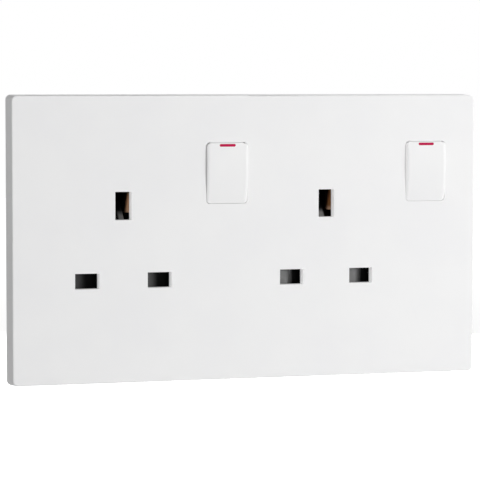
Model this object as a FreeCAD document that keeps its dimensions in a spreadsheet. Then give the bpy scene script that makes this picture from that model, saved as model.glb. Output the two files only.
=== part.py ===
import FreeCAD, Part
import math
import os
import re
import Sketcher

# Twin switched wall socket, in millimetres and degrees.
# Origin: centre of the wall plane. +X right seen from the front, +Z up, +Y into the wall.

SIZES = {
    # Front plate
    "plate_width": 146.0,
    "plate_height": 86.0,
    "plate_depth": 7.0,
    "plate_draft": 0.35,
    "plate_corner": 1.5,
    "plate_edge": 0.4,
    "plate_wall": 2.2,
    "skirt_wall": 1.8,
    "notch_wide": 9.0,
    "notch_deep": 1.2,
    # Layout of the two outlets and their switches
    "outlet_inset": 34.0,
    "rocker_inset": 16.3,
    "earth_z": 10.0,
    "pin_rise": 22.2,
    "pin_spread": 22.2,
    "rocker_dx": 32.1,
    "rocker_z": 19.45,
    # Pin apertures and the collars behind them
    "earth_wide": 5.0,
    "earth_tall": 8.4,
    "line_wide": 7.4,
    "line_tall": 4.6,
    "collar_depth": 3.0,
    "collar_wall": 1.0,
    "collar_room": 0.3,
    # Snap hooks that hold the plate on the chassis
    "hook_x": 30.0,
    "hook_wide": 8.0,
    "hook_thick": 1.0,
    "hook_room": 0.3,
    "barb_deep": 0.9,
    "barb_long": 1.0,
    # Chassis
    "chassis_room": 1.7,
    "chassis_corner": 3.0,
    "chassis_wall": 1.5,
    "chassis_rim": 2.0,
    "cover_gap": 0.4,
    "fixing_inset": 12.7,
    "fixing_hole": 4.2,
    "fixing_head": 8.0,
    "lug_radius": 5.4,
    "lug_thick": 1.8,
    "lug_web": 1.6,
    # Rockers
    "window_wide": 13.0,
    "window_tall": 18.4,
    "window_corner": 1.1,
    "pivot_in": 2.4,
    "rocker_gap": 0.15,
    "rocker_room": 0.35,
    "rocker_tilt": 3.0,
    "crown_radius": 50.0,
    "crown_proud": 0.95,
    "rocker_corner": 1.2,
    "bevel_wide": 0.9,
    "bevel_deep": 0.25,
    "rocker_shell": 1.3,
    "rocker_skirt": 0.8,
    "ear_half": 2.4,
    "ear_reach": 1.7,
    "trunnion_radius": 0.9,
    "trunnion_long": 1.4,
    "bearing_room": 0.05,
    "cheek_gap": 0.1,
    "cheek_thick": 1.4,
    "cheek_half": 3.6,
    "cheek_proud": 0.8,
    "cheek_back": 1.2,
    # Indicator bars
    "bar_wide": 5.0,
    "bar_tall": 0.8,
    "bar_below_edge": 0.55,
    "bar_deep": 1.0,
    # Plungers and their springs
    "boss_radius": 2.2,
    "boss_reach": 7.0,
    "plunger_radius": 1.4,
    "plunger_room": 0.05,
    "plunger_start": 4.0,
    "plunger_gap": 0.2,
    "spring_radius": 1.0,
    "spring_wire": 0.2,
    "spring_pitch": 1.5,
    "spring_room": 0.1,
    # Shutters and their springs
    "shutter_gap": 0.45,
    "shutter_thick": 2.0,
    "shutter_half": 16.4,
    "shutter_above": 2.7,
    "shutter_below": 3.6,
    "shutter_travel": 4.8,
    "relief_from": 0.6,
    "relief_wide": 3.6,
    "relief_deep": 1.2,
    "stem_half": 2.9,
    "stem_below_earth": 4.5,
    "ramp_half": 1.4,
    "ramp_tall": 5.3,
    "ramp_thick": 2.2,
    "rail_lip": 1.5,
    "rail_wall": 1.3,
    "rail_room": 0.3,
    "peg_radius": 0.7,
    "peg_long": 1.0,
    "seat_drop": 12.0,
    "seat_thick": 1.5,
    "seat_half": 2.6,
    "return_radius": 1.1,
    "return_pitch": 1.8,
    # Contact strips, all folded from one gauge of sheet
    "strip_level": 12.0,
    "strip_thick": 0.8,
    "strip_wide": 4.0,
    "clip_sheet": 0.7,
    "clip_grip": 1.78,
    "clip_root": 1.95,
    "clip_flare": 2.7,
    "clip_half": 3.0,
    "line_clip_front": 0.3,
    "line_grip_at": 3.0,
    "earth_clip_front": -2.2,
    "earth_grip_at": -0.5,
    "earth_flare": 3.2,
    "earth_root": 4.2,
    "earth_clip_up": 3.8,
    "earth_clip_down": 3.6,
    "earth_lip_down": 2.2,
    "earth_lip_back": 5.0,
    "neutral_drop": 8.8,
    "earth_bar_half": 2.5,
    # Switch arms, forks and contact tips
    "arm_pivot": 8.6,
    "arm_half": 2.4,
    "arm_thick": 1.0,
    "arm_up": 8.0,
    "arm_down": 7.0,
    "arm_tilt": 8.0,
    "arm_pin_radius": 0.9,
    "fork_gap": 0.2,
    "fork_sheet": 0.8,
    "fork_half": 1.8,
    "fork_front": 1.7,
    "tip_at": 6.6,
    "tip_radius": 1.4,
    "tip_thick": 0.8,
    "tip_gap": 0.05,
    "fixed_tip_radius": 1.6,
    # Rear housing
    "housing_left_inset": 13.5,
    "housing_right_inset": 6.6,
    "housing_under_pins": 17.8,
    "housing_over_rocker": 12.6,
    "housing_over_earth": 10.5,
    "housing_step_in": 13.9,
    "housing_waist_in": 6.0,
    "housing_shoulder": 5.0,
    "lug_room": 1.6,
    "housing_wall": 1.4,
    "housing_corner": 1.2,
    "housing_edge": 0.6,
    "floor_level": 17.5,
    "floor_thick": 2.0,
    "pedestal_margin": 0.4,
    # Terminals and the wiring bay
    "terminal_shift": 2.3,
    "terminal_pitch": 10.4,
    "terminal_wide": 8.4,
    "terminal_tall": 9.0,
    "terminal_top": 2.0,
    "terminal_deep": 8.6,
    "terminal_room": 0.25,
    "wire_radius": 2.1,
    "wire_level": 17.2,
    "clamp_radius": 1.6,
    "clamp_head": 2.4,
    "clamp_head_tall": 1.4,
    "clamp_slot": 0.8,
    "bay_floor": 1.5,
    "bay_back": 22.6,
    "bay_above": 2.6,
    # Housing screws and their posts
    "post_radius": 2.6,
    "post_meet": 8.0,
    "pilot_radius": 1.25,
    "pilot_floor": 1.0,
    "passage_radius": 1.6,
    "screw_radius": 1.2,
    "screw_head": 2.5,
    "screw_head_tall": 1.5,
    "screw_head_room": 0.3,
    "post_inset": 4.9,
    "post_beside_rocker": 11.6,
    "post_below_rocker": 9.2,
    "post_between": 20.0,
    "post_drop": 1.8,
}

doc = FreeCAD.newDocument("twin_socket")
sheet = doc.addObject("Spreadsheet::Sheet", "Sizes")
for row, (name, size) in enumerate(SIZES.items(), 1):
    sheet.set("A%d" % row, name)
    sheet.set("B%d" % row, str(size))
    sheet.setAlias("B%d" % row, name)
doc.recompute()

SIZE_NAME = re.compile(r"\b(%s)\b" % "|".join(SIZES))
PLANES = {"x": "YZ_Plane", "y": "XZ_Plane", "z": "XY_Plane"}
HALF = "half a turn"

# Levels along Y, from the front to the back
FRONT = "(-plate_depth)"
PLATE_INSIDE = "(-plate_depth + plate_wall)"
COLLAR_END = "(-plate_depth + collar_depth)"
CHASSIS_FRONT = "(-plate_depth + plate_wall + cover_gap)"
CHASSIS_BACK = "(-plate_depth + plate_wall + cover_gap + chassis_wall)"
SHUTTER_FRONT = "(%s + shutter_gap)" % CHASSIS_BACK
SHUTTER_BACK = "(%s + shutter_gap + shutter_thick)" % CHASSIS_BACK
SHUTTER_MID = "(%s + shutter_gap + shutter_thick / 2)" % CHASSIS_BACK
PIVOT = "(-plate_depth + pivot_in)"
STRIP_BACK = "(strip_level + strip_thick)"
EARTH_BAR_FRONT = "(floor_level - strip_thick)"
FLOOR_BACK = "(floor_level + floor_thick)"
BAY_FLOOR = "(strip_level + strip_thick + bay_floor)"

# Places across the front
PIN_Z = "(earth_z - pin_rise)"
LINE_DX = "(pin_spread / 2)"
LEFT = "(outlet_inset - plate_width / 2)"
RIGHT = "(plate_width / 2 - rocker_inset - rocker_dx)"
SIDES = (("left", LEFT), ("right", RIGHT))
TERMINAL_Z = "(terminal_top - terminal_tall / 2)"
TERMINAL_X = "((%s + %s) / 2 + terminal_shift)" % (LEFT, RIGHT)
TERMINALS = (
    ("neutral", "(%s - terminal_pitch)" % TERMINAL_X),
    ("earth", TERMINAL_X),
    ("live", "(%s + terminal_pitch)" % TERMINAL_X),
)
CHASSIS_X = "(plate_width / 2 - skirt_wall - chassis_room)"
CHASSIS_Z = "(plate_height / 2 - skirt_wall - chassis_room)"
FIXING_X = "(plate_width / 2 - fixing_inset)"
LUG_CLEAR = "(lug_radius + lug_room)"
HOUSING_LEFT = "(housing_left_inset - plate_width / 2)"
HOUSING_RIGHT = "(plate_width / 2 - housing_right_inset)"
HOUSING_STEP = "(%s - housing_step_in)" % HOUSING_RIGHT
HOUSING_WAIST = "(%s + housing_waist_in)" % HOUSING_LEFT
HOUSING_SHOULDER = "(%s + housing_shoulder)" % LEFT
HOUSING_BOTTOM = "(%s - housing_under_pins)" % PIN_Z
HOUSING_MID = "(earth_z + housing_over_earth)"
HOUSING_TOP = "(rocker_z + housing_over_rocker)"
POSTS = (
    ("(%s + post_inset)" % HOUSING_LEFT, "(%s + post_inset)" % HOUSING_BOTTOM),
    ("(%s - post_inset)" % HOUSING_STEP, "(%s + post_inset)" % HOUSING_BOTTOM),
    ("(%s + post_inset)" % HOUSING_WAIST, "(%s - post_inset)" % HOUSING_MID),
    ("(%s + rocker_dx - post_beside_rocker)" % RIGHT, "(rocker_z - post_below_rocker)"),
    ("(%s + rocker_dx + post_between)" % LEFT, "(rocker_z - post_drop)"),
)
NEUTRAL_BAR_Z = "(%s - neutral_drop)" % PIN_Z
LIVE_BAR_Z = "(rocker_z + tip_at * cos(arm_tilt))"

# Rocker geometry about its pivot: barrel ends that clear the window, and a crowned face
WINDOW_RADIUS = "sqrt((window_tall / 2)^2 + pivot_in^2)"
END_RADIUS = "sqrt((window_tall / 2 - rocker_gap)^2 + pivot_in^2)"
ROCKER_HALF = "(window_wide / 2 - rocker_gap)"
CROWN_CENTRE = "(crown_radius - pivot_in - crown_proud)"
EDGE_Y = "((%s^2 - crown_radius^2 + %s^2) / (2 * %s))" % (CROWN_CENTRE, END_RADIUS, CROWN_CENTRE)
EDGE_Z = "sqrt(%s^2 - %s^2)" % (END_RADIUS, EDGE_Y)
SKIRT_Z = "sqrt(%s^2 - rocker_skirt^2)" % END_RADIUS
BAR_Z = "(%s - bar_below_edge)" % EDGE_Z
BAR_FACE = "(%s - sqrt(crown_radius^2 - %s^2))" % (CROWN_CENTRE, BAR_Z)
BAR_FLOOR = "(%s + bar_deep)" % BAR_FACE
PLUNGER_END = "(arm_pivot - %s - arm_pin_radius - plunger_gap)" % PIVOT

nodes = []


def bound(text):
    """The expression with every size name pointing at its cell."""
    return SIZE_NAME.sub(r"Sizes.\1", text)


def value(text):
    """What an expression gives with the sheet as it stands."""
    return float(sheet.evalExpression(text))


def plus(place, move):
    return "(%s + %s)" % (place, move)


def minus(place, move):
    return "(%s - %s)" % (place, move)


def rect(left, right, low, high):
    return [(left, low), (right, low), (right, high), (left, high)]


def block(across, up, wide, tall):
    """A rectangle about a centre."""
    half_wide, half_tall = "(%s) / 2" % wide, "(%s) / 2" % tall
    left, right = minus(across, half_wide), plus(across, half_wide)
    return rect(left, right, minus(up, half_tall), plus(up, half_tall))


def rounded(across, up, wide, tall, radius):
    """A rectangle about a centre, with round corners."""
    (left, low), _, (right, high), _ = block(across, up, wide, tall)
    return [
        (plus(left, radius), low),
        (minus(right, radius), low, radius, 1),
        (right, plus(low, radius)),
        (right, minus(high, radius), radius, 1),
        (minus(right, radius), high),
        (plus(left, radius), high, radius, 1),
        (left, minus(high, radius)),
        (left, plus(low, radius), radius, 1),
    ]


def circle(across, up, radius):
    return (across, up, radius)


def inset(points, amount):
    """A square-cornered outline, drawn anticlockwise, moved inwards by an amount."""
    flat = [(value(across), value(up)) for across, up in points]
    moved = []
    for i, (across, up) in enumerate(points):
        before, here, after = flat[i - 1], flat[i], flat[(i + 1) % len(flat)]
        runs = [(here[0] - before[0], here[1] - before[1]), (after[0] - here[0], after[1] - here[1])]
        inward_x = sum(-run[1] for run in runs)
        inward_z = sum(run[0] for run in runs)
        moved.append(
            (
                plus(across, amount) if inward_x > 0 else minus(across, amount),
                plus(up, amount) if inward_z > 0 else minus(up, amount),
            )
        )
    return moved


def arc_between(start, end, radius, turn):
    """An arc of under half a turn; turn is 1 for anticlockwise and -1 for clockwise."""
    chord = end - start
    rise = math.sqrt(max(radius**2 - chord.Length**2 / 4, 0.0))
    side = FreeCAD.Vector(-chord.y, chord.x, 0).normalize()
    centre = (start + end) * 0.5 + side * (rise * turn)
    first, last = (start, end) if turn > 0 else (end, start)
    angles = [math.atan2(point.y - centre.y, point.x - centre.x) for point in (first, last)]
    return Part.ArcOfCircle(Part.Circle(centre, FreeCAD.Vector(0, 0, 1), radius), *angles)


def hold_point(sketch, piece, end, across, up):
    """Ties one point of an outline to its two coordinates."""
    for text, kind, axis in ((across, "DistanceX", -2), (up, "DistanceY", -1)):
        if text == "0":
            sketch.addConstraint(Sketcher.Constraint("PointOnObject", piece, end, axis))
            continue
        number = sketch.addConstraint(Sketcher.Constraint(kind, -1, 1, piece, end, value(text)))
        sketch.setExpression("Constraints[%d]" % number, bound(text))


def hold_radius(sketch, piece, radius):
    number = sketch.addConstraint(Sketcher.Constraint("Radius", piece, value(radius)))
    sketch.setExpression("Constraints[%d]" % number, bound(radius))


def draw_circle(sketch, across, up, radius):
    centre = FreeCAD.Vector(value(across), value(up), 0)
    piece = sketch.addGeometry(Part.Circle(centre, FreeCAD.Vector(0, 0, 1), value(radius)), False)
    hold_point(sketch, piece, 3, across, up)
    hold_radius(sketch, piece, radius)


def draw_outline(sketch, points):
    """A closed outline. A point (across, up) starts a line, a point (across, up, radius, turn) an arc.

    The radius HALF stands for half a turn between two points one above the other.
    """
    spots = [FreeCAD.Vector(value(point[0]), value(point[1]), 0) for point in points]
    pieces = []
    for i, point in enumerate(points):
        start, end = spots[i], spots[(i + 1) % len(spots)]
        if len(point) == 2:
            number = sketch.addGeometry(Part.LineSegment(start, end), False)
            pieces.append((number, 1, 2))
        else:
            radius = (end - start).Length / 2 if point[2] == HALF else value(point[2])
            number = sketch.addGeometry(arc_between(start, end, radius, point[3]), False)
            pieces.append((number, 1, 2) if point[3] > 0 else (number, 2, 1))
    for i, (number, first, last) in enumerate(pieces):
        after = pieces[(i + 1) % len(pieces)]
        sketch.addConstraint(Sketcher.Constraint("Coincident", number, last, after[0], after[1]))
    for (number, first, last), point in zip(pieces, points):
        hold_point(sketch, number, first, point[0], point[1])
        if len(point) == 2:
            continue
        if point[2] == HALF:
            sketch.addConstraint(Sketcher.Constraint("Vertical", number, 3, number, first))
        else:
            hold_radius(sketch, number, point[2])


def new_sketch(body, axis, level, outlines):
    """Outlines on the plane that crosses the axis at a level."""
    plane = next(item for item in body.Origin.OriginFeatures if item.Role == PLANES[axis])
    sketch = body.newObject("Sketcher::SketchObject", "Outline")
    sketch.AttachmentSupport = [(plane, "")]
    sketch.MapMode = "FlatFace"
    sketch.setExpression("AttachmentOffset.Base.z", bound("-(%s)" % level if axis == "y" else level))
    for outline in outlines:
        if isinstance(outline, tuple):
            draw_circle(sketch, *outline)
        else:
            draw_outline(sketch, outline)
    return sketch


def extrude(body, kind, axis, low, high, outlines):
    level = high if (kind == "Pad") == (axis == "y") else low
    sketch = new_sketch(body, axis, level, outlines)
    feature = body.newObject("PartDesign::" + kind, kind)
    feature.Profile = sketch
    feature.setExpression("Length", bound("(%s) - (%s)" % (high, low)))
    return feature


def pad(body, axis, low, high, *outlines):
    """Adds outlines drawn across an axis, from a low to a high level."""
    return extrude(body, "Pad", axis, low, high, outlines)


def pocket(body, axis, low, high, *outlines):
    """Cuts outlines drawn across an axis, and makes sure that the cut meets the solid."""
    doc.recompute()
    before = body.Tip.Shape.Volume
    feature = extrude(body, "Pocket", axis, low, high, outlines)
    doc.recompute()
    if not feature.Shape.Volume < before - 1e-6:
        raise RuntimeError("a pocket of %s cuts nothing" % body.Label)
    return feature


def round_edges(body, radius, chosen):
    """Fillets the edges of the body's last feature that a test picks."""
    doc.recompute()
    base = body.Tip
    names = ["Edge%d" % i for i, edge in enumerate(base.Shape.Edges, 1) if chosen(edge)]
    feature = body.newObject("PartDesign::Fillet", "Fillet")
    feature.Base = (base, names)
    feature.setExpression("Radius", bound(radius))


def new_body(label):
    body = doc.addObject("PartDesign::Body", label)
    body.Label = label
    return body


def place(body, across, level, up, turn=None, way=1):
    """Puts a body in the socket, turned about the X axis where a turn is given."""
    if turn:
        body.Placement = FreeCAD.Placement(
            FreeCAD.Vector(), FreeCAD.Rotation(FreeCAD.Vector(way, 0, 0), value(turn))
        )
        body.setExpression("Placement.Rotation.Angle", bound(turn))
    for letter, text in zip("xyz", (across, level, up)):
        body.setExpression("Placement.Base." + letter, bound(text))


def keep(item):
    nodes.append(item)
    return item


def pin_blocks(wider):
    """The six pin apertures, each made wider all round by an amount."""
    blocks = []
    for side, outlet in SIDES:
        blocks.append(block(outlet, "earth_z", "earth_wide + 2 * " + wider, "earth_tall + 2 * " + wider))
        for pin in (minus(outlet, LINE_DX), plus(outlet, LINE_DX)):
            blocks.append(block(pin, PIN_Z, "line_wide + 2 * " + wider, "line_tall + 2 * " + wider))
    return blocks


def cheek_blocks(room):
    """The rocker bearings, one to each side of each rocker."""
    blocks = []
    for side, outlet in SIDES:
        centre = plus(outlet, "rocker_dx")
        for way in (minus, plus):
            middle = way(centre, "(window_wide / 2 + cheek_gap + cheek_thick / 2)")
            wide, tall = "cheek_thick + 2 * " + room, "2 * (cheek_half + %s)" % room
            blocks.append(block(middle, "rocker_z", wide, tall))
    return blocks


def hook_blocks(low, high, room):
    """Places of the four snap hooks, between two heights measured from the centre line."""
    blocks = []
    for across in ("-hook_x", "hook_x"):
        half = "(hook_wide / 2 + %s)" % room
        left, right = minus(across, half), plus(across, half)
        blocks.append(rect(left, right, low, high))
        blocks.append(rect(left, right, "-" + high, "-" + low))
    return blocks


def front_plate():
    """Thin-walled moulded cover: drafted skirt, pin apertures with collars, rocker windows, snap hooks."""
    body = keep(new_body("front_plate"))
    shell = pad(body, "y", FRONT, "0", block("0", "0", "plate_width", "plate_height"))
    shell.setExpression("TaperAngle", bound("-atan(plate_draft / plate_depth)"))
    round_edges(body, "plate_corner", lambda edge: edge.BoundBox.YLength > value("plate_depth / 2"))
    round_edges(body, "plate_edge", lambda edge: edge.BoundBox.YMax < value(FRONT) + 0.01)
    cavity = block("0", "0", "plate_width - 2 * skirt_wall", "plate_height - 2 * skirt_wall")
    pocket(body, "y", PLATE_INSIDE, "0", cavity)
    pad(body, "y", PLATE_INSIDE, COLLAR_END, *pin_blocks("collar_wall"))
    pocket(body, "y", FRONT, COLLAR_END, *pin_blocks("0"))
    for side, outlet in SIDES:
        centre = plus(outlet, "rocker_dx")
        window = rounded(centre, "rocker_z", "window_wide", "window_tall", "window_corner")
        pocket(body, "y", FRONT, PLATE_INSIDE, window)
        barrel_half = "(window_wide / 2 - rocker_corner)"
        barrel = circle(PIVOT, "rocker_z", WINDOW_RADIUS)
        pocket(body, "x", minus(centre, barrel_half), plus(centre, barrel_half), barrel)
    recess = minus(PIVOT, "(trunnion_radius + hook_room)")
    pocket(body, "y", recess, PLATE_INSIDE, *cheek_blocks("hook_room"))
    hook_low = "(%s + hook_room)" % CHASSIS_Z
    hook_high = "(%s + hook_room + hook_thick)" % CHASSIS_Z
    barb_low = "(%s + hook_room - barb_deep)" % CHASSIS_Z
    pad(body, "y", PLATE_INSIDE, "-hook_room", *hook_blocks(hook_low, hook_high, "0"))
    pad(body, "y", "(-hook_room - barb_long)", "-hook_room", *hook_blocks(barb_low, hook_low, "0"))
    notch_low = "(-plate_height / 2)"
    notch = rect("-notch_wide / 2", "notch_wide / 2", notch_low, plus(notch_low, "skirt_wall"))
    pocket(body, "y", "-notch_deep", "0", notch)


def chassis():
    """Moulded frame that the wall screws hold: carries the rockers, the shutters and the rear housing."""
    body = keep(new_body("chassis"))
    pad(body, "y", CHASSIS_FRONT, "0", block("0", "0", "2 * " + CHASSIS_X, "2 * " + CHASSIS_Z))
    round_edges(body, "chassis_corner", lambda edge: edge.BoundBox.YLength > value("chassis_wall"))
    inside_x, inside_z = minus(CHASSIS_X, "chassis_rim"), minus(CHASSIS_Z, "chassis_rim")
    pocket(body, "y", CHASSIS_BACK, "0", block("0", "0", "2 * " + inside_x, "2 * " + inside_z))
    fixings = ("-" + FIXING_X, FIXING_X)
    pad(body, "y", CHASSIS_BACK, "-lug_thick", *lug_webs(inside_x))
    pad(body, "y", CHASSIS_BACK, "0", *[circle(across, "0", "lug_radius") for across in fixings])
    heads = [circle(across, "0", "fixing_head / 2") for across in fixings]
    pocket(body, "y", CHASSIS_FRONT, "-lug_thick", *heads)
    holes = [circle(across, "0", "fixing_hole / 2") for across in fixings]
    pocket(body, "y", "-lug_thick", "0", *holes)
    pocket(body, "y", CHASSIS_FRONT, CHASSIS_BACK, *pin_blocks("(collar_wall + collar_room)"))
    chassis_rockers(body)
    chassis_shutters(body)
    pad(body, "y", CHASSIS_BACK, "post_meet", *[circle(across, up, "post_radius") for across, up in POSTS])
    pilots = [circle(across, up, "pilot_radius") for across, up in POSTS]
    pocket(body, "y", plus(CHASSIS_BACK, "pilot_floor"), "post_meet", *pilots)
    ledges = hook_blocks(minus(CHASSIS_Z, "barb_deep"), CHASSIS_Z, "hook_room")
    pocket(body, "y", "(-2 * hook_room - barb_long)", "0", *ledges)


def lug_webs(inside_x):
    """Webs that tie each fixing lug to the end wall."""
    webs = []
    for way in (minus, plus):
        low, high = way("0", "lug_radius / 2 + lug_web / 2"), way("0", "lug_radius / 2 - lug_web / 2")
        low, high = sorted((low, high), key=value)
        webs.append(rect(FIXING_X, inside_x, low, high))
        webs.append(rect("-" + inside_x, "-" + FIXING_X, low, high))
    return webs


def chassis_rockers(body):
    """Rocker openings and the two bearings beside each, with slots open to the front."""
    openings = []
    for side, outlet in SIDES:
        tall = "2 * (%s + rocker_room)" % END_RADIUS
        openings.append(block(plus(outlet, "rocker_dx"), "rocker_z", "window_wide", tall))
    pocket(body, "y", CHASSIS_FRONT, CHASSIS_BACK, *openings)
    cheek_front = minus(CHASSIS_FRONT, "cheek_proud")
    pad(body, "y", cheek_front, plus(CHASSIS_BACK, "cheek_back"), *cheek_blocks("0"))
    radius = "(trunnion_radius + bearing_room)"
    low, high = minus("rocker_z", radius), plus("rocker_z", radius)
    slot = [(cheek_front, low), (PIVOT, low, HALF, 1), (PIVOT, high), (cheek_front, high)]
    for side, outlet in SIDES:
        centre = plus(outlet, "rocker_dx")
        reach = "(window_wide / 2 + cheek_gap + cheek_thick)"
        pocket(body, "x", minus(centre, reach), plus(centre, reach), slot)


def chassis_shutters(body):
    """Grooved rails that a shutter's bar slides in, and the seat of its spring."""
    low = "(%s - shutter_below - shutter_travel - rail_room)" % PIN_Z
    high = "(%s + shutter_above + rail_room)" % PIN_Z
    groove_end = "(shutter_half + rail_room)"
    groove_back = plus(SHUTTER_BACK, "rail_room")
    rail_back = plus(SHUTTER_BACK, "(rail_room + rail_wall)")
    seat_low = "(%s - seat_drop - seat_thick)" % PIN_Z
    seat_high = "(%s - seat_drop)" % PIN_Z
    for side, outlet in SIDES:
        inner, outer = "(%s - rail_lip)" % groove_end, "(%s + rail_wall)" % groove_end
        rails, grooves = [], []
        for way in (minus, plus):
            ends = sorted((way(outlet, inner), way(outlet, outer)), key=value)
            rails.append(rect(ends[0], ends[1], low, high))
            ends = sorted((way(outlet, inner), way(outlet, groove_end)), key=value)
            grooves.append(rect(ends[0], ends[1], low, high))
        pad(body, "y", CHASSIS_BACK, rail_back, *rails)
        pocket(body, "y", CHASSIS_BACK, groove_back, *grooves)
        seat = rect(minus(outlet, "seat_half"), plus(outlet, "seat_half"), seat_low, seat_high)
        pad(body, "y", CHASSIS_BACK, rail_back, seat)
        pad(body, "z", seat_high, plus(seat_high, "peg_long"), circle(outlet, SHUTTER_MID, "peg_radius"))


HOUSING = [
    (HOUSING_LEFT, HOUSING_BOTTOM),
    (HOUSING_STEP, HOUSING_BOTTOM),
    (HOUSING_STEP, LUG_CLEAR),
    (HOUSING_RIGHT, LUG_CLEAR),
    (HOUSING_RIGHT, HOUSING_TOP),
    (HOUSING_SHOULDER, HOUSING_TOP),
    (HOUSING_SHOULDER, HOUSING_MID),
    (HOUSING_WAIST, HOUSING_MID),
    (HOUSING_WAIST, "-" + LUG_CLEAR),
    (HOUSING_LEFT, "-" + LUG_CLEAR),
]


def rear_housing():
    """Deep moulded tray behind the chassis: pedestals for the contacts, wiring bay, screw posts."""
    body = keep(new_body("rear_housing"))
    pad(body, "y", CHASSIS_BACK, FLOOR_BACK, HOUSING)
    round_edges(body, "housing_corner", lambda edge: edge.BoundBox.YLength > value("floor_level"))
    round_edges(body, "housing_edge", lambda edge: edge.BoundBox.YMin > value(FLOOR_BACK) - 0.01)
    pocket(body, "y", CHASSIS_BACK, "floor_level", inset(HOUSING, "housing_wall"))
    pad(body, "y", STRIP_BACK, "floor_level", *pedestals())
    bay_half = "(terminal_pitch + terminal_wide / 2 + terminal_room + housing_wall)"
    bay = rect(
        minus(TERMINAL_X, bay_half),
        plus(TERMINAL_X, bay_half),
        HOUSING_BOTTOM,
        "(terminal_top + bay_above)",
    )
    pad(body, "y", STRIP_BACK, "bay_back", bay)
    wide = "terminal_wide + 2 * terminal_room"
    channel_low, channel_high = HOUSING_BOTTOM, "(terminal_top + terminal_room)"
    channels, windows = [], []
    for name, across in TERMINALS:
        left, right = minus(across, "(%s) / 2" % wide), plus(across, "(%s) / 2" % wide)
        channels.append(rect(left, right, channel_low, channel_high))
        windows.append(block(across, TERMINAL_Z, wide, "terminal_tall + 2 * terminal_room"))
    pocket(body, "y", BAY_FLOOR, "bay_back", *channels)
    pocket(body, "y", STRIP_BACK, BAY_FLOOR, *windows)
    pad(body, "y", "post_meet", "floor_level", *[circle(across, up, "post_radius") for across, up in POSTS])
    passages = [circle(across, up, "passage_radius") for across, up in POSTS]
    pocket(body, "y", "post_meet", FLOOR_BACK, *passages)
    wells = [circle(across, up, "(screw_head + screw_head_room)") for across, up in POSTS]
    pocket(body, "y", minus(FLOOR_BACK, "(screw_head_tall + pedestal_margin)"), FLOOR_BACK, *wells)


def pedestals():
    """Blocks that carry the contact strips at one level."""
    found = []
    clip_tall = "2 * (clip_root + clip_sheet + pedestal_margin)"
    clip_wide = "2 * (clip_half + pedestal_margin)"
    for side, outlet in SIDES:
        for pin in (minus(outlet, LINE_DX), plus(outlet, LINE_DX)):
            found.append(block(pin, PIN_Z, clip_wide, clip_tall))
        fork = "2 * (arm_half + fork_gap + fork_sheet)"
        found.append(block(plus(outlet, "rocker_dx"), "rocker_z", fork, "strip_wide"))
    start, end = plus(LEFT, "(rocker_dx - strip_wide)"), plus(RIGHT, "(rocker_dx + strip_wide)")
    low, high = minus(LIVE_BAR_Z, "strip_wide / 2"), plus(LIVE_BAR_Z, "strip_wide / 2")
    found.append(rect(start, end, low, high))
    return found


def rocker(side, outlet):
    """Crowned rocker with barrel ends, hollow behind, on two trunnions."""
    body = keep(new_body(side + "_rocker"))
    profile = [
        (EDGE_Y, EDGE_Z, "crown_radius", 1),
        (EDGE_Y, "-" + EDGE_Z, END_RADIUS, 1),
        ("rocker_skirt", "-" + SKIRT_Z),
        ("rocker_skirt", SKIRT_Z, END_RADIUS, 1),
    ]
    pad(body, "x", "-" + ROCKER_HALF, ROCKER_HALF, profile)
    rocker_bevels(body)
    corners = []
    for way_x in (1, -1):
        for way_z in (1, -1):
            corners.append(corner_piece(way_x, way_z))
    pocket(body, "y", "-(pivot_in + 2 * crown_proud)", "rocker_skirt", *corners)
    hollow_front = "(-pivot_in - crown_proud + rocker_shell)"
    hollow_half = "(%s - rocker_shell)" % ROCKER_HALF
    hollow_top = minus(EDGE_Z, "rocker_shell")
    hollow = rect("-" + hollow_half, hollow_half, "-" + hollow_top, hollow_top)
    pocket(body, "y", hollow_front, "rocker_skirt", hollow)
    for way, sign in ((minus, "-"), (plus, "")):
        inner, outer = sorted((sign + hollow_half, sign + ROCKER_HALF), key=value)
        pad(body, "x", inner, outer, rect(hollow_front, "ear_reach", "-ear_half", "ear_half"))
        tip = way(sign + ROCKER_HALF, "trunnion_long")
        inner, outer = sorted((sign + ROCKER_HALF, tip), key=value)
        pad(body, "x", inner, outer, circle("0", "0", "trunnion_radius"))
    pad(body, "y", hollow_front, "boss_reach", circle("0", "0", "boss_radius"))
    pocket(body, "y", hollow_front, "boss_reach", circle("0", "0", "(plunger_radius + plunger_room)"))
    pocket(body, "y", "-(pivot_in + 2 * crown_proud)", BAR_FLOOR, bar_outline())
    place(body, plus(outlet, "rocker_dx"), PIVOT, "rocker_z", "rocker_tilt")


def corner_piece(way_x, way_z):
    """What is cut from one corner of the rocker's face to round it."""
    sign_x, sign_z = ("" if way_x > 0 else "-"), ("" if way_z > 0 else "-")
    beyond = "(%s + rocker_corner)"
    edge_x, edge_z = "%s%s" % (sign_x, ROCKER_HALF), "%s%s" % (sign_z, END_RADIUS)
    near_x = "%s(%s - rocker_corner)" % (sign_x, ROCKER_HALF)
    near_z = "%s(%s - rocker_corner)" % (sign_z, EDGE_Z)
    top_z = "%s%s" % (sign_z, EDGE_Z)
    far_x = "%s%s" % (sign_x, beyond % ROCKER_HALF)
    far_z = "%s%s" % (sign_z, beyond % END_RADIUS)
    turn = way_x * way_z
    return [
        (edge_x, near_z, "rocker_corner", turn),
        (near_x, top_z),
        (near_x, far_z),
        (far_x, far_z),
        (far_x, near_z),
    ]


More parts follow.
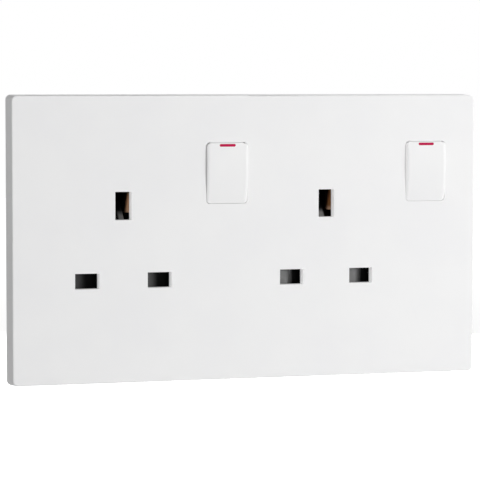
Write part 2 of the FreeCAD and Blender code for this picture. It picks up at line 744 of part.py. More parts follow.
def rocker_bevels(body):
    """Soft bevels down both sides of the face, cut round the axis of the crown."""
    radius = "((bevel_wide^2 + bevel_deep^2) / (2 * bevel_deep))"
    face, foot = "-crown_radius", "(bevel_deep - crown_radius)"
    outside = "(-crown_radius - bevel_wide)"
    outlines = []
    for sign, turn in (("", 1), ("-", -1)):
        start = "%s(%s - bevel_wide)" % (sign, ROCKER_HALF)
        side = sign + ROCKER_HALF
        beyond = "%s(%s + bevel_wide)" % (sign, ROCKER_HALF)
        sweep = [(start, face, radius, turn), (side, foot)]
        outlines.append(sweep + [(beyond, foot), (beyond, outside), (start, outside)])
    sketch = new_sketch(body, "z", "0", outlines)
    sketch.setExpression("AttachmentOffset.Base.y", bound(CROWN_CENTRE))
    doc.recompute()
    before = body.Tip.Shape.Volume
    groove = body.newObject("PartDesign::Groove", "Groove")
    groove.Profile = sketch
    groove.ReferenceAxis = (sketch, ["H_Axis"])
    groove.Angle = 360.0
    doc.recompute()
    if not groove.Shape.Volume < before - 1e-6:
        raise RuntimeError("the bevels of %s cut nothing" % body.Label)


def bar_outline():
    """Stadium outline of the indicator on the rocker's face, below its upper edge."""
    reach = "(bar_wide / 2 - bar_tall / 2)"
    low, high = minus(BAR_Z, "bar_tall / 2"), plus(BAR_Z, "bar_tall / 2")
    return [
        ("-" + reach, low),
        (reach, low, HALF, 1),
        (reach, high),
        ("-" + reach, high, HALF, 1),
    ]


def indicator(side, outlet):
    """Coloured bar moulded into the rocker's face; stands in the recess that the rocker has for it."""
    body = keep(new_body(side + "_indicator"))
    pad(body, "y", BAR_FACE, BAR_FLOOR, bar_outline())
    place(body, plus(outlet, "rocker_dx"), PIVOT, "rocker_z", "rocker_tilt")


def plunger(side, outlet):
    """Round-nosed plunger that slides in the rocker's boss and pushes the switch arm over."""
    body = keep(new_body(side + "_plunger"))
    shoulder = minus(PLUNGER_END, "plunger_radius")
    profile = [
        ("plunger_start", "0"),
        (PLUNGER_END, "0", "plunger_radius", 1),
        (shoulder, "plunger_radius"),
        ("plunger_start", "plunger_radius"),
    ]
    sketch = new_sketch(body, "x", "0", [profile])
    turned = body.newObject("PartDesign::Revolution", "Revolution")
    turned.Profile = sketch
    turned.ReferenceAxis = (sketch, ["H_Axis"])
    turned.Angle = 360.0
    place(body, plus(outlet, "rocker_dx"), PIVOT, "rocker_z", "rocker_tilt")


def coil(label, radius, pitch, height):
    """Wire spring that winds up the body's own Z axis."""
    body = keep(new_body(label))
    sketch = new_sketch(body, "y", "0", [circle(radius, "spring_wire", "spring_wire")])
    wound = body.newObject("PartDesign::AdditiveHelix", "Helix")
    wound.Profile = sketch
    wound.ReferenceAxis = (sketch, ["V_Axis"])
    wound.Mode = "pitch-height-angle"
    wound.setExpression("Pitch", bound(pitch))
    wound.setExpression("Height", bound(height))
    return body


def plunger_spring(side, outlet):
    start = "(-pivot_in - crown_proud + rocker_shell + spring_room)"
    height = "(plunger_start - %s - 2 * spring_wire - spring_room)" % start
    body = coil(side + "_plunger_spring", "spring_radius", "spring_pitch", height)
    level = "(%s + %s * cos(rocker_tilt))" % (PIVOT, start)
    up = "(rocker_z + %s * sin(rocker_tilt))" % start
    place(body, plus(outlet, "rocker_dx"), level, up, "90 - rocker_tilt", -1)


def shutter(side, outlet):
    """Sliding shutter: stepped bar behind the line apertures, stem, and ramp that the earth pin pushes."""
    body = keep(new_body(side + "_shutter"))
    low, high = "(%s - shutter_below)" % PIN_Z, "(%s + shutter_above)" % PIN_Z
    stem_top = "(earth_z - stem_below_earth)"
    outline = [
        ("-shutter_half", low),
        ("shutter_half", low),
        ("shutter_half", high),
        ("stem_half", high),
        ("stem_half", stem_top),
        ("-stem_half", stem_top),
        ("-stem_half", high),
        ("-shutter_half", high),
    ]
    pad(body, "y", SHUTTER_FRONT, SHUTTER_BACK, outline)
    reliefs = []
    for pin in ("-" + LINE_DX, LINE_DX):
        start = plus(pin, "relief_from")
        reliefs.append(rect(start, plus(start, "relief_wide"), low, high))
    pocket(body, "y", SHUTTER_FRONT, plus(SHUTTER_FRONT, "relief_deep"), *reliefs)
    ramp_back = plus(SHUTTER_FRONT, "ramp_tall")
    ramp_top = plus(stem_top, "ramp_tall")
    ramp = [
        (SHUTTER_FRONT, minus(stem_top, "ramp_thick")),
        (SHUTTER_BACK, minus(stem_top, "ramp_thick")),
        (ramp_back, minus(ramp_top, "ramp_thick")),
        (ramp_back, ramp_top),
        (SHUTTER_FRONT, stem_top),
    ]
    pad(body, "x", "-ramp_half", "ramp_half", ramp)
    pad(body, "z", minus(low, "peg_long"), low, circle("0", SHUTTER_MID, "peg_radius"))
    place(body, outlet, "0", "0")


def shutter_spring(side, outlet):
    start = "(%s - seat_drop + spring_room)" % PIN_Z
    height = "(seat_drop - shutter_below - 2 * spring_wire - 2 * spring_room)"
    body = coil(side + "_shutter_spring", "return_radius", "return_pitch", height)
    place(body, outlet, SHUTTER_MID, start)


def clip_profile(flare, root, front, grip_at, base_front, base_back):
    """Folded spring clip as (gap direction, depth): flared lips, a grip, two leaves and a base."""
    right = [
        (flare, front),
        ("(%s + clip_sheet)" % flare, front),
        ("(clip_grip + clip_sheet)", grip_at),
        ("(%s + clip_sheet)" % root, base_back),
    ]
    inner = [(root, base_front), ("clip_grip", grip_at)]
    points = right + [("-" + gap, depth) for gap, depth in reversed(right)]
    return points + [("-" + gap, depth) for gap, depth in reversed(inner)] + inner


def line_clip(base_front, base_back):
    """A clip whose leaves lie above and below a line pin, drawn as (depth, height)."""
    lips = ("clip_flare", "clip_root", "line_clip_front", "line_grip_at")
    points = clip_profile(*lips, base_front, base_back)
    return [(depth, plus(PIN_Z, gap)) for gap, depth in points]


def earth_clip(side, outlet):
    """Earth contact: two leaves beside the pin, their lips cut short below to clear the ramp."""
    body = keep(new_body(side + "_earth_clip"))
    base_front = minus(EARTH_BAR_FRONT, "strip_thick")
    profile = clip_profile(
        "earth_flare", "earth_root", "earth_clip_front", "earth_grip_at", base_front, EARTH_BAR_FRONT
    )
    pad(body, "z", minus("earth_z", "earth_clip_down"), plus("earth_z", "earth_clip_up"), profile)
    lip_half = "(earth_flare + clip_sheet)"
    lips = rect("-" + lip_half, lip_half, "earth_clip_front", "earth_lip_back")
    pocket(body, "z", minus("earth_z", "earth_clip_down"), minus("earth_z", "earth_lip_down"), lips)
    place(body, outlet, "0", "0")


def earth_bar():
    """Strip on the housing floor that joins the earth clips, folded forward and down to its terminal."""
    body = keep(new_body("earth_bar"))
    low, high = minus("earth_z", "earth_bar_half"), plus("earth_z", "earth_bar_half")
    start, end = minus(LEFT, "(earth_root + clip_sheet)"), plus(RIGHT, "(earth_root + clip_sheet)")
    pad(body, "y", EARTH_BAR_FRONT, "floor_level", rect(start, end, low, high))
    left, right = minus(TERMINAL_X, "strip_wide / 2"), plus(TERMINAL_X, "strip_wide / 2")
    pad(body, "y", "strip_level", "floor_level", rect(left, right, minus(low, "strip_thick"), low))
    tongue = rect(left, right, "(terminal_top - terminal_tall)", low)
    pad(body, "y", "strip_level", STRIP_BACK, tongue)


def neutral_clip(side, outlet):
    """Neutral contact: two leaves above and below the pin, on a tab of the neutral bar."""
    body = keep(new_body(side + "_neutral_clip"))
    pad(body, "x", "-clip_half", "clip_half", line_clip("(strip_level - strip_thick)", "strip_level"))
    place(body, minus(outlet, LINE_DX), "0", "0")


def neutral_bar():
    """Flat strip below the line pins with a tab up to each neutral clip and one to the terminal."""
    body = keep(new_body("neutral_bar"))
    low, high = minus(NEUTRAL_BAR_Z, "strip_wide / 2"), plus(NEUTRAL_BAR_Z, "strip_wide / 2")
    start = "(%s - %s - strip_wide / 2)" % (LEFT, LINE_DX)
    end = "(%s - %s + strip_wide / 2)" % (RIGHT, LINE_DX)
    pad(body, "y", "strip_level", STRIP_BACK, rect(start, end, low, high))
    clip_top = plus(PIN_Z, "(clip_root + clip_sheet)")
    tabs = [(minus(outlet, LINE_DX), clip_top) for side, outlet in SIDES]
    tabs.append((TERMINALS[0][1], "terminal_top"))
    for across, top in tabs:
        tab = rect(minus(across, "strip_wide / 2"), plus(across, "strip_wide / 2"), low, top)
        pad(body, "y", "strip_level", STRIP_BACK, tab)


def live_contact(side, outlet):
    """One folded strip for each outlet: the live clip, a link, and the fork that carries the switch arm."""
    body = keep(new_body(side + "_live_contact"))
    clip = line_clip("strip_level", STRIP_BACK)
    pad(body, "x", "(%s - clip_half)" % LINE_DX, "(%s + clip_half)" % LINE_DX, clip)
    left, right = "(%s - strip_wide / 2)" % LINE_DX, "(%s + strip_wide / 2)" % LINE_DX
    low, high = minus("rocker_z", "strip_wide / 2"), plus("rocker_z", "strip_wide / 2")
    fork_reach = "(arm_half + fork_gap + fork_sheet)"
    link = [
        (left, PIN_Z),
        (right, PIN_Z),
        (right, low),
        (plus("rocker_dx", fork_reach), low),
        (plus("rocker_dx", fork_reach), high),
        (left, high),
    ]
    pad(body, "y", "strip_level", STRIP_BACK, link)
    front = "(arm_pivot - fork_front)"
    ear = rect(front, "strip_level", minus("rocker_z", "fork_half"), plus("rocker_z", "fork_half"))
    inner, outer = "(arm_half + fork_gap)", fork_reach
    for low_x, high_x in (
        (minus("rocker_dx", outer), minus("rocker_dx", inner)),
        (plus("rocker_dx", inner), plus("rocker_dx", outer)),
    ):
        pad(body, "x", low_x, high_x, ear)
    hole = circle("arm_pivot", "rocker_z", "(arm_pin_radius + bearing_room)")
    pocket(body, "x", minus("rocker_dx", outer), plus("rocker_dx", outer), hole)
    place(body, outlet, "0", "0")


def live_bar():
    """Strip that carries the fixed contact tips of both switches, with a leg down to the live terminal."""
    body = keep(new_body("live_bar"))
    start, end = plus(LEFT, "(rocker_dx - strip_wide)"), plus(RIGHT, "(rocker_dx + strip_wide)")
    low, high = minus(LIVE_BAR_Z, "strip_wide / 2"), plus(LIVE_BAR_Z, "strip_wide / 2")
    pad(body, "y", "strip_level", STRIP_BACK, rect(start, end, low, high))
    across = TERMINALS[2][1]
    left, right = minus(across, "strip_wide / 2"), plus(across, "strip_wide / 2")
    pad(body, "y", "strip_level", STRIP_BACK, rect(left, right, "(terminal_top - terminal_tall)", low))


def contact_arm(side, outlet):
    """See-saw arm on a cross pin, tilted so that its upper end meets the fixed tip."""
    body = keep(new_body(side + "_contact_arm"))
    strip = rect("-arm_thick / 2", "arm_thick / 2", "-arm_down", "arm_up")
    pad(body, "x", "-arm_half", "arm_half", strip)
    reach = "(arm_half + fork_gap + fork_sheet)"
    pad(body, "x", "-" + reach, reach, circle("0", "0", "arm_pin_radius"))
    place(body, plus(outlet, "rocker_dx"), "arm_pivot", "rocker_z", "arm_tilt", -1)


def moving_tip(side, outlet):
    body = keep(new_body(side + "_moving_tip"))
    pad(body, "y", "arm_thick / 2", "(arm_thick / 2 + tip_thick)", circle("0", "tip_at", "tip_radius"))
    place(body, plus(outlet, "rocker_dx"), "arm_pivot", "rocker_z", "arm_tilt", -1)


def fixed_tip(side, outlet):
    """Contact tip on the live bar; its face stops just short of the moving tip."""
    body = keep(new_body(side + "_fixed_tip"))
    back_reach = "(arm_thick / 2 + tip_thick) * cos(arm_tilt)"
    swing_reach = "(tip_at + tip_radius) * sin(arm_tilt)"
    face = "(arm_pivot + %s + %s + tip_gap)" % (back_reach, swing_reach)
    pad(body, "y", face, "strip_level", circle("0", LIVE_BAR_Z, "fixed_tip_radius"))
    place(body, plus(outlet, "rocker_dx"), "0", "0")


def terminal(name, across):
    """Brass clamp block: the wire goes in from below, the screw from behind."""
    body = keep(new_body(name + "_terminal"))
    back = "(%s + terminal_deep)" % STRIP_BACK
    pad(body, "y", STRIP_BACK, back, block("0", TERMINAL_Z, "terminal_wide", "terminal_tall"))
    low = "(terminal_top - terminal_tall)"
    pocket(body, "z", low, "terminal_top", circle("0", "wire_level", "wire_radius"))
    pocket(body, "y", "wire_level", back, circle("0", TERMINAL_Z, "(clamp_radius + bearing_room)"))
    place(body, across, "0", "0")


def terminal_screws():
    """Slotted clamp screws, one in each terminal block."""
    screws = []
    back = "(%s + terminal_deep)" % STRIP_BACK
    tip = "(wire_level + wire_radius + terminal_room)"
    for name, across in TERMINALS:
        body = new_body(name + "_clamp_screw")
        top = "(%s + clamp_head_tall)" % back
        pad(body, "y", tip, back, circle("0", TERMINAL_Z, "clamp_radius"))
        pad(body, "y", back, top, circle("0", TERMINAL_Z, "clamp_head"))
        slot = block("0", TERMINAL_Z, "2 * clamp_head", "clamp_slot")
        pocket(body, "y", minus(top, "clamp_slot"), top, slot)
        place(body, across, "0", "0")
        screws.append(body)
    group("terminal_screws", screws)


def housing_screws():
    """Cross-slotted screws that hold the rear housing to the chassis posts."""
    screws = []
    seat = minus(FLOOR_BACK, "(screw_head_tall + pedestal_margin)")
    end = plus(CHASSIS_BACK, "(pilot_floor + screw_head_room)")
    for number, (across, up) in enumerate(POSTS, 1):
        body = new_body("housing_screw_%d" % number)
        pad(body, "y", end, seat, circle("0", "0", "screw_radius"))
        top = plus(seat, "screw_head_tall")
        pad(body, "y", seat, top, circle("0", "0", "screw_head"))
        for wide, tall in (("screw_head", "clamp_slot"), ("clamp_slot", "screw_head")):
            pocket(body, "y", minus(top, "clamp_slot"), top, block("0", "0", wide, tall))
        place(body, across, "0", up)
        screws.append(body)
    group("housing_screws", screws)


def group(label, bodies):
    """Several like pieces as one named node."""
    item = doc.addObject("Part::Compound", label)
    item.Label = label
    item.Links = bodies
    keep(item)


front_plate()
chassis()
rear_housing()
for side, outlet in SIDES:
    rocker(side, outlet)
    indicator(side, outlet)
    plunger(side, outlet)
    plunger_spring(side, outlet)
    shutter(side, outlet)
    shutter_spring(side, outlet)
    earth_clip(side, outlet)
    neutral_clip(side, outlet)
    live_contact(side, outlet)
    contact_arm(side, outlet)
    moving_tip(side, outlet)
    fixed_tip(side, outlet)
earth_bar()
neutral_bar()
live_bar()
for name, across in TERMINALS:
    terminal(name, across)
terminal_screws()
housing_screws()
doc.recompute()

for item in doc.Objects:
    if any(word in ("Invalid", "Error") for word in item.State):
        raise RuntimeError("%s is %s" % (item.Label, item.State))
for node in nodes:
    if node.Shape.isNull() or not node.Shape.isValid():
        raise RuntimeError("%s has no valid shape" % node.Label)

os.makedirs("parts", exist_ok=True)
for node in nodes:
    node.Shape.exportStep("parts/%s.step" % node.Label)
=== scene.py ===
import math
import bpy
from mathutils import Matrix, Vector


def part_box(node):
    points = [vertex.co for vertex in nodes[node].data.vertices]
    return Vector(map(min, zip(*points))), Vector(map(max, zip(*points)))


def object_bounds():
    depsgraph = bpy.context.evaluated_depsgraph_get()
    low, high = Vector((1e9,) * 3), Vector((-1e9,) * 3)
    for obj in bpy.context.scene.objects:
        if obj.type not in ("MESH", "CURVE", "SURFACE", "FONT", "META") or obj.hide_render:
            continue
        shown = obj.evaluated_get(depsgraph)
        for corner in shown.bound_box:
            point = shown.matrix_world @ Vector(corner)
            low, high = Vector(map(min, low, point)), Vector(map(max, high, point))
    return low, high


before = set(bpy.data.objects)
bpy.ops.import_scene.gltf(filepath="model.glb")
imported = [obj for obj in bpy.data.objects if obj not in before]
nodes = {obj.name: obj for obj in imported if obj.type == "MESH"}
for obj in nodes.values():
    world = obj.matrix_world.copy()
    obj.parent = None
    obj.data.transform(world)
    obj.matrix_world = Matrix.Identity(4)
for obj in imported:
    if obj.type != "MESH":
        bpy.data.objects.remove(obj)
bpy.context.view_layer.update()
bpy.context.scene.view_settings.view_transform = "Standard"


# Rockers: white urea mouldings from polished tools, satin to the touch.
# Each drops into two open bearings of the chassis, behind a window in the plate.
# The skin has a faint flow mottle, an uneven sheen and a very fine tool texture.
def shortcuts(tree):
    """Two shortcuts for a node tree: one adds a node and sets or links its inputs, one links sockets."""

    def add(kind, links=None, **settings):
        node = tree.nodes.new(kind)
        for key, setting in settings.items():
            if hasattr(node, key):
                setattr(node, key, setting)
            else:
                node.inputs[key.replace("_", " ")].default_value = setting
        for key, output in (links or {}).items():
            tree.links.new(output, node.inputs[key])
        return node

    return add, tree.links.new


def new_material(name):
    material = bpy.data.materials.new(name)
    material.use_nodes = True
    return material


def ramp(add, value, start, end, low, high):
    """Goes smoothly from a low to a high number while a value goes from start to end."""
    node = add("ShaderNodeMapRange", {"Value": value}, interpolation_type="SMOOTHSTEP")
    for key, number in (("From Min", start), ("From Max", end), ("To Min", low), ("To Max", high)):
        node.inputs[key].default_value = number
    return node.outputs["Result"]


def mottle(add, places, size, low, high, detail=2.0):
    """Soft cloudy values between two limits, with patches of about the given size in metres."""
    usual_span = (0.3, 0.7)
    noise = add("ShaderNodeTexNoise", {"Vector": places}, Scale=1.0 / size, Detail=detail)
    return ramp(add, noise.outputs["Fac"], *usual_span, low, high)


def grain(add, places, size, depth, strength, under=None):
    """A bump of the given grain size and depth in metres, over another bump if one is given."""
    noise = add("ShaderNodeTexNoise", {"Vector": places}, Scale=1.0 / size, Detail=3.0)
    links = {"Height": noise.outputs["Fac"]}
    if under:
        links["Normal"] = under
    return add("ShaderNodeBump", links, Strength=strength, Distance=depth).outputs["Normal"]


def tint(add, factor, first, second):
    """A colour between two, chosen by a factor; each of the two is a colour or a socket."""
    mix = add("ShaderNodeMix", {0: factor}, data_type="RGBA")
    for place, colour in ((6, first), (7, second)):
        if isinstance(colour, tuple):
            mix.inputs[place].default_value = (*colour, 1.0)
        else:
            mix.id_data.links.new(colour, mix.inputs[place])
    return mix.outputs[2]


def moulded_plastic(name, pale, deep, gloss, sheen_patch, texture, specular=0.5):
    """Moulded plastic: two near colours that mottle, a range of roughness, and a tool texture."""
    colour_patch = 0.018
    material = new_material(name)
    shader = material.node_tree.nodes["Principled BSDF"]
    add, link = shortcuts(material.node_tree)
    places = add("ShaderNodeTexCoord").outputs["Object"]
    link(tint(add, mottle(add, places, colour_patch, 0.0, 1.0), pale, deep), shader.inputs["Base Color"])
    link(mottle(add, places, sheen_patch, *gloss), shader.inputs["Roughness"])
    flow = grain(add, places, size=0.012, depth=0.00002, strength=0.25)
    link(grain(add, places, *texture, under=flow), shader.inputs["Normal"])
    shader.inputs["IOR"].default_value = 1.5
    shader.inputs["Specular IOR Level"].default_value = specular
    return material


def dress(material, *names):
    """Puts a material in every slot of the named nodes."""
    for name in names:
        for place in nodes[name].material_slots:
            place.material = material


def painted_wall_glow(material, left_walls, upper_walls):
    """Painted light: a white glow on a moulding's walls that face up, and near its front on walls that face
    left.

    For each kind of wall: two places in X, and the strength at each of them.
    """
    turn = (0.5, 0.9)
    front_depth = (-0.0045, -0.0035)
    shader = material.node_tree.nodes["Principled BSDF"]
    add, link = shortcuts(material.node_tree)
    spot = add("ShaderNodeTexCoord")
    turned = add("ShaderNodeSeparateXYZ", {"Vector": spot.outputs["Normal"]})
    where = add("ShaderNodeSeparateXYZ", {"Vector": spot.outputs["Object"]})
    leftward = ramp(add, turned.outputs["X"], -turn[0], -turn[1], 0.0, 1.0)
    upward = ramp(add, turned.outputs["Z"], *turn, 0.0, 1.0)
    near_front = ramp(add, where.outputs["Y"], *front_depth, 1.0, 0.0)
    from_left = ramp(add, where.outputs["X"], *left_walls)
    from_upper = ramp(add, where.outputs["X"], *upper_walls)
    left = add("ShaderNodeMath", {0: leftward, 1: from_left}, operation="MULTIPLY").outputs["Value"]
    near = add("ShaderNodeMath", {0: left, 1: near_front}, operation="MULTIPLY").outputs["Value"]
    glow = add("ShaderNodeMath", {0: upward, 1: from_upper, 2: near}, operation="MULTIPLY_ADD")
    shader.inputs["Emission Color"].default_value = (1.0, 1.0, 1.0, 1.0)
    link(glow.outputs["Value"], shader.inputs["Emission Strength"])


WHITE = {
    "pale": (0.84, 0.84, 0.84),
    "deep": (0.825, 0.825, 0.83),
    "gloss": (0.45, 0.55),
    "sheen_patch": 0.006,
    "texture": (0.0003, 0.000004, 0.3),
    "specular": 0.12,
}
rocker = moulded_plastic("rocker_moulding", **WHITE)
# The rockers' walls that face left or up get a painted glow, which stands in for light scattered through the
# white moulding.
painted_wall_glow(rocker, left_walls=(-0.02, 0.05, 0.04, 0.24), upper_walls=(-0.02, 0.05, 0.1, 0.1))
dress(rocker, "left_rocker", "right_rocker")

# Front plate: the same white moulding as the rockers, a thin shell that snaps over the chassis.
# Its walls that face left or up get a painted glow, which stands in for light from the right that scatters
# through it.
plate = moulded_plastic("plate_moulding", **WHITE)
painted_wall_glow(plate, left_walls=(-0.0715, -0.0700, 0.0, 0.30), upper_walls=(-0.035, 0.03, 0.0, 0.11))
dress(plate, "front_plate")

# Indicator bars: red plastic, one near the upper edge of each rocker.
# Each is moulded into a slot in the rocker's face and ends flush with it, a little glossier.
RED = {
    "pale": (0.50, 0.006, 0.068),
    "deep": (0.46, 0.004, 0.06),
    "gloss": (0.30, 0.40),
    "sheen_patch": 0.002,
    "texture": (0.0002, 0.000003, 0.3),
    "specular": 0.1,
}
dress(moulded_plastic("red_indicator", **RED), "left_indicator", "right_indicator")

# Chassis and rear housing: black thermoset mouldings, semi-gloss, held together by five screws.
# The chassis takes the wall screws and the housing holds the contacts behind it.
BLACK = {
    "pale": (0.013, 0.013, 0.013),
    "deep": (0.016, 0.016, 0.017),
    "gloss": (0.35, 0.41),
    "sheen_patch": 0.009,
    "texture": (0.0004, 0.000006, 0.3),
}
dress(moulded_plastic("black_moulding", **BLACK), "chassis", "rear_housing")

# Plungers: black mouldings of a slippery plastic, smooth and dull where they slide.
# One moves in the boss of each rocker, pushed out by a spring against the switch arm.
SLICK = {
    "pale": (0.007, 0.007, 0.007),
    "deep": (0.005, 0.005, 0.005),
    "gloss": (0.40, 0.52),
    "sheen_patch": 0.003,
    "texture": (0.0006, 0.000004, 0.2),
    "specular": 0.05,
}
dress(moulded_plastic("slick_moulding", **SLICK), "left_plunger", "right_plunger")

# Shutters: the same slippery plastic, in guides behind the pin apertures, pushed up by a spring.
# Painted light makes them paler at the left of each line slot, where the lamp shines in past the slot's
# right wall, and on the front of the earth ramp.
# The right one has more painted light, and some on the floors of the reliefs beside its line slots.
PIN_SPACE = 0.0222
HALF_BETWEEN = 0.005
RELIEF_LIGHT_REACH = (0.0119, 0.0134)
RELIEF_DEPTH = (0.0003, 0.0009)
TRACK_EDGE = (0.0005, 0.0012)
SLOPE_DEPTH = (-0.0012, 0.0006)
SLOPE_HEIGHT = (0.0, 0.004)
LIGHT_PATCH = 0.002
LIGHT_RANGE = (0.85, 1.0)
PAINTED_LIGHT_WHITE = (1.0, 1.0, 1.0)
for side, middle, bar_light, fade, relief_light, track, slope_light in (
    ("left", -0.0390, (0.075, 0.13), (0.0082, 0.0119), 0.0, -0.0383, 0.27),
    ("right", 0.0246, (0.25, 0.25), (0.0106, 0.0128), 0.3, 0.0247, 0.48),
):
    slick = moulded_plastic(side + "_shutter_moulding", **SLICK)
    shader = slick.node_tree.nodes["Principled BSDF"]
    add, link = shortcuts(slick.node_tree)
    unlit_black = shader.inputs["Base Color"].links[0].from_socket
    places = add("ShaderNodeTexCoord").outputs["Object"]
    where = add("ShaderNodeSeparateXYZ", {"Vector": places})
    wrapped = add("ShaderNodeMath", {0: where.outputs["X"]}, operation="WRAP")
    wrapped.inputs[1].default_value = middle + PIN_SPACE
    wrapped.inputs[2].default_value = middle
    beside = wrapped.outputs["Value"]
    # Painted light on each line bar, fading out to the right where the slot's wall shades it.
    reach = ramp(add, beside, middle + fade[0], middle + fade[1], 1.0, 0.0)
    each = ramp(add, where.outputs["X"], middle - HALF_BETWEEN, middle + HALF_BETWEEN, *bar_light)
    on_bar = add("ShaderNodeMath", {0: reach, 1: each}, operation="MULTIPLY").outputs["Value"]
    # Painted light on the relief floors, fading out away from the bar.
    on_floor = ramp(add, beside, middle + RELIEF_LIGHT_REACH[0], middle + RELIEF_LIGHT_REACH[1], relief_light, 0.0)
    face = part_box(side + "_shutter")[0].y
    sunk = ramp(add, where.outputs["Y"], face + RELIEF_DEPTH[0], face + RELIEF_DEPTH[1], 0.0, 1.0)
    on_line = add("ShaderNodeMix", {0: sunk, 2: on_bar, 3: on_floor}).outputs[0]
    aside = add("ShaderNodeMath", {0: where.outputs["X"]}, operation="SUBTRACT")
    aside.inputs[1].default_value = track
    off_track = add("ShaderNodeMath", {0: aside.outputs["Value"]}, operation="ABSOLUTE")
    # Painted highlight in a strip down the earth ramp, fading to painted shade deeper in the slot.
    on_slope = ramp(add, off_track.outputs["Value"], *TRACK_EDGE, slope_light, 0.0)
    low_down = ramp(add, where.outputs["Y"], *SLOPE_DEPTH, 1.0, 0.0)
    slope = add("ShaderNodeMath", {0: on_slope, 1: low_down}, operation="MULTIPLY")
    upper = ramp(add, where.outputs["Z"], *SLOPE_HEIGHT, 0.0, 1.0)
    painted_lit = add("ShaderNodeMix", {0: upper, 2: on_line, 3: slope.outputs["Value"]})
    patchy = mottle(add, places, LIGHT_PATCH, *LIGHT_RANGE)
    painted_light = add("ShaderNodeMath", {0: painted_lit.outputs[0], 1: patchy}, operation="MULTIPLY")
    # The black is mixed towards white where the painted light falls, a little patchy.
    link(tint(add, painted_light.outputs["Value"], unlit_black, PAINTED_LIGHT_WHITE), shader.inputs["Base Color"])
    dress(slick, side + "_shutter")


# Contact strips, line clips and switch arms: rolled copper alloy, cut and folded in a press tool.
# Fine rolling lines run along the strip, and the surface has a light tarnish.
def metal(name, bright, dull, roughness, along, line, depth):
    """Bare metal with fine lines that run along one axis, and patches that are duller."""
    line_stretch = 0.06
    dull_patch = 0.005
    material = new_material(name)
    shader = material.node_tree.nodes["Principled BSDF"]
    add, link = shortcuts(material.node_tree)
    places = add("ShaderNodeTexCoord").outputs["Object"]
    stretch = add("ShaderNodeMapping", {"Vector": places})
    stretch.inputs["Scale"].default_value = [line_stretch if axis == along else 1.0 for axis in "xyz"]
    lines = stretch.outputs["Vector"]
    patches = mottle(add, places, dull_patch, 0.0, 1.0, detail=4.0)
    link(tint(add, patches, bright, dull), shader.inputs["Base Color"])
    link(mottle(add, lines, line, *roughness), shader.inputs["Roughness"])
    link(grain(add, lines, line, depth, strength=0.5), shader.inputs["Normal"])
    shader.inputs["Metallic"].default_value = 1.0
    return material


COPPER = {
    "bright": (0.80, 0.47, 0.30),
    "dull": (0.62, 0.33, 0.20),
    "roughness": (0.24, 0.42),
    "along": "x",
    "line": 0.0004,
    "depth": 0.000004,
}
copper = metal("copper_strip", **COPPER)
for side in ("left", "right"):
    dress(copper, side + "_neutral_clip", side + "_live_contact", side + "_contact_arm")
dress(copper, "live_bar", "neutral_bar", "earth_bar")

# Earth clips: the same copper alloy, seen through the earth apertures.
# Each lip has a painted highlight along its edge, on a slant, brightest at its lower end.
# Behind the edge is painted shade, and the right clip's copper is darker.
EDGE_ROUGHNESS = (0.34, 0.48)
LIP_END = (0.0078, 0.0094)
LIP_HIGHLIGHT_SHARE = 0.9
LIP_HIGHLIGHT_COLOUR = (1.0, 0.78, 0.60)
EDGE_SLANT = 0.12
SHADE_REACH = (-0.00055, 0.00045)
PAINTED_SHADE_DARK = (0.012, 0.008, 0.006)
for side, bright, dull in (
    ("left", (0.98, 0.70, 0.49), (0.88, 0.58, 0.39)),
    ("right", (0.49, 0.26, 0.12), (0.39, 0.19, 0.08)),
):
    side_copper = {**COPPER, "bright": bright, "dull": dull, "roughness": EDGE_ROUGHNESS}
    earth = metal(side + "_earth_copper", **side_copper)
    shader = earth.node_tree.nodes["Principled BSDF"]
    add, link = shortcuts(earth.node_tree)
    strip = shader.inputs["Base Color"].links[0].from_socket
    where = add("ShaderNodeSeparateXYZ", {"Vector": add("ShaderNodeTexCoord").outputs["Object"]})
    # Painted highlight towards the lower end of the lip.
    near_end = ramp(add, where.outputs["Z"], *LIP_END, LIP_HIGHLIGHT_SHARE, 0.0)
    highlighted = tint(add, near_end, strip, LIP_HIGHLIGHT_COLOUR)
    slant = add("ShaderNodeMath", {0: where.outputs["Z"], 2: where.outputs["Y"]}, operation="MULTIPLY_ADD")
    slant.inputs[1].default_value = EDGE_SLANT
    # Painted shade behind the slanted edge of the lip.
    painted_shade = ramp(add, slant.outputs["Value"], *SHADE_REACH, 0.0, 1.0)
    link(tint(add, painted_shade, highlighted, PAINTED_SHADE_DARK), shader.inputs["Base Color"])
    dress(earth, side + "_earth_clip")

# Terminal blocks: three lengths of drawn brass bar, each on the end of its contact strip.
# Drilled from below for the wire and tapped from behind for the clamp screw.
BRASS = {
    "bright": (0.82, 0.62, 0.30),
    "dull": (0.66, 0.47, 0.20),
    "roughness": (0.26, 0.40),
    "along": "z",
    "line": 0.0003,
    "depth": 0.000004,
}
dress(metal("brass_bar", **BRASS), "live_terminal", "neutral_terminal", "earth_terminal")

# Contact tips: pressed buttons of silver alloy, where the switch makes and breaks.
# One is riveted to each switch arm and its mate to the live bar, both slightly dulled.
SILVER = {
    "bright": (0.86, 0.85, 0.82),
    "dull": (0.66, 0.65, 0.62),
    "roughness": (0.22, 0.40),
    "along": "x",
    "line": 0.0003,
    "depth": 0.000003,
}
silver = metal("silver_tip", **SILVER)
dress(silver, "left_moving_tip", "right_moving_tip", "left_fixed_tip", "right_fixed_tip")

# Springs and screws: coils of drawn spring wire, and turned steel screws with a zinc plating.
# The springs push the shutters up and the plungers out; the screws clamp wires and housing.
STEEL = {
    "bright": (0.64, 0.64, 0.62),
    "dull": (0.50, 0.50, 0.49),
    "roughness": (0.24, 0.42),
    "along": "y",
    "line": 0.0003,
    "depth": 0.000004,
}
steel = metal("plated_steel", **STEEL)
for side in ("left", "right"):
    dress(steel, side + "_shutter_spring", side + "_plunger_spring")
dress(steel, "terminal_screws", "housing_screws")

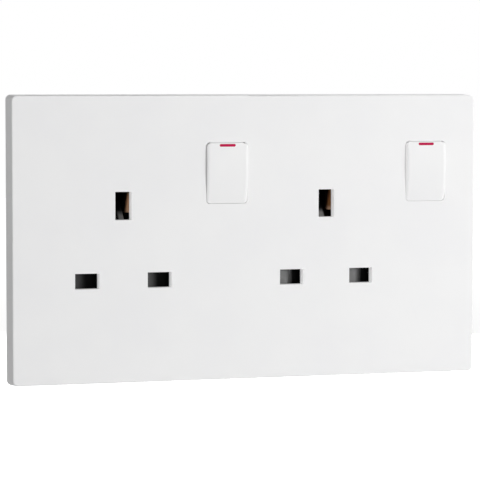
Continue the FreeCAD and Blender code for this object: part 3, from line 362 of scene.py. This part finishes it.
# Studio: a pale floor well below the socket, which a wall box would hold.
# The floor has a faint unevenness, and a lift in tone that the camera sees keeps it near white.
FLOOR_DROP = 0.08
FLOOR_SIZE = 6.0
FLOOR_PATCH = 0.3
FLOOR_LIFT = (0.54, 0.72)
FLOOR_GLOW = 0.2
LIFT_REACH = (0.3, 2.0)
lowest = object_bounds()[0].z
bpy.ops.mesh.primitive_plane_add(size=FLOOR_SIZE, location=(0.0, 0.0, lowest - FLOOR_DROP))
floor = bpy.context.object
floor.name = "studio_floor"
pale = new_material("pale_floor")
shader = pale.node_tree.nodes["Principled BSDF"]
add, link = shortcuts(pale.node_tree)
places = add("ShaderNodeTexCoord").outputs["Object"]
cloud = mottle(add, places, FLOOR_PATCH, 0.0, 1.0)
link(tint(add, cloud, (0.86, 0.86, 0.86), (0.85, 0.85, 0.85)), shader.inputs["Base Color"])
shader.inputs["Roughness"].default_value = 0.9
away = add("ShaderNodeVectorMath", {0: places}, operation="LENGTH")
rise = ramp(add, away.outputs["Value"], *LIFT_REACH, *FLOOR_LIFT)
share = add("ShaderNodeMath", {0: add("ShaderNodeLightPath").outputs["Is Camera Ray"]}, operation="MAXIMUM")
share.inputs[1].default_value = FLOOR_GLOW
lift = add("ShaderNodeMath", {0: share.outputs["Value"], 1: rise}, operation="MULTIPLY")
shader.inputs["Emission Color"].default_value = (1.0, 1.0, 1.0, 1.0)
link(lift.outputs["Value"], shader.inputs["Emission Strength"])
floor.data.materials.append(pale)

# Surround: a white studio tent, brighter in front of the socket than behind it.
# The camera, and reflections in the plastic and metal, see it as full white.
FILL_FRONT = 0.67
FILL_BACK = 0.04
FILL_TURN = (-0.25, 0.25)
world = bpy.data.worlds.new("studio_surround")
bpy.context.scene.world = world
world.use_nodes = True
add, link = shortcuts(world.node_tree)
around = world.node_tree.nodes["Background"]
around.inputs["Color"].default_value = (1.0, 1.0, 1.0, 1.0)
heading = add("ShaderNodeSeparateXYZ", {"Vector": add("ShaderNodeTexCoord").outputs["Generated"]})
link(ramp(add, heading.outputs["Y"], *FILL_TURN, FILL_FRONT, FILL_BACK), around.inputs["Strength"])
seen = add("ShaderNodeBackground", Color=(1.0, 1.0, 1.0, 1.0), Strength=1.0)
path = add("ShaderNodeLightPath").outputs
bounced = {0: path["Is Glossy Ray"], 1: path["Is Transmission Ray"]}
mirrored = add("ShaderNodeMath", bounced, operation="MAXIMUM")
direct = add("ShaderNodeMath", {0: path["Is Camera Ray"], 1: mirrored.outputs["Value"]}, operation="MAXIMUM")
choose = add("ShaderNodeMixShader", {0: direct.outputs["Value"]})
link(around.outputs["Background"], choose.inputs[1])
link(seen.outputs["Background"], choose.inputs[2])
link(choose.outputs["Shader"], world.node_tree.nodes["World Output"].inputs["Surface"])


# Lamps: a key soft box to the right of the camera and a little above the socket,
# a small one over its right end for the top edge, and one low down behind it
# that shows the dark rear mouldings.
def soft_box(name, place, size, power):
    """A square studio light that faces the socket."""
    lamp = bpy.data.lights.new(name, "AREA")
    lamp.size = size
    lamp.energy = power
    holder = bpy.data.objects.new(name, lamp)
    holder.location = place
    holder.rotation_euler = (-Vector(place)).to_track_quat("-Z", "Y").to_euler()
    holder.visible_camera = False
    bpy.context.scene.collection.objects.link(holder)


soft_box("key_light", place=(0.50, -0.66, 0.08), size=0.2, power=2.78)
soft_box("top_light", place=(0.35, 0.0, 0.35), size=0.12, power=0.42)
soft_box("back_light", place=(0.35, 0.9, -0.06), size=0.2, power=4.5)

# Camera: at the left of the socket and a little above it, with a long lens.
# Its place and lens were fitted to the corners of the plate in the photograph.
YAW, PITCH = math.radians(17.10), math.radians(3.48)
camera = bpy.data.objects.new("camera", bpy.data.cameras.new("camera"))
camera.data.lens = 193.2
camera.data.sensor_width = 36.0
camera.location = (-0.2303, -0.7463, 0.0463)
ahead = Vector((math.sin(YAW) * math.cos(PITCH), math.cos(YAW) * math.cos(PITCH), -math.sin(PITCH)))
camera.rotation_euler = ahead.to_track_quat("-Z", "Y").to_euler()
bpy.context.scene.collection.objects.link(camera)
bpy.context.scene.camera = camera
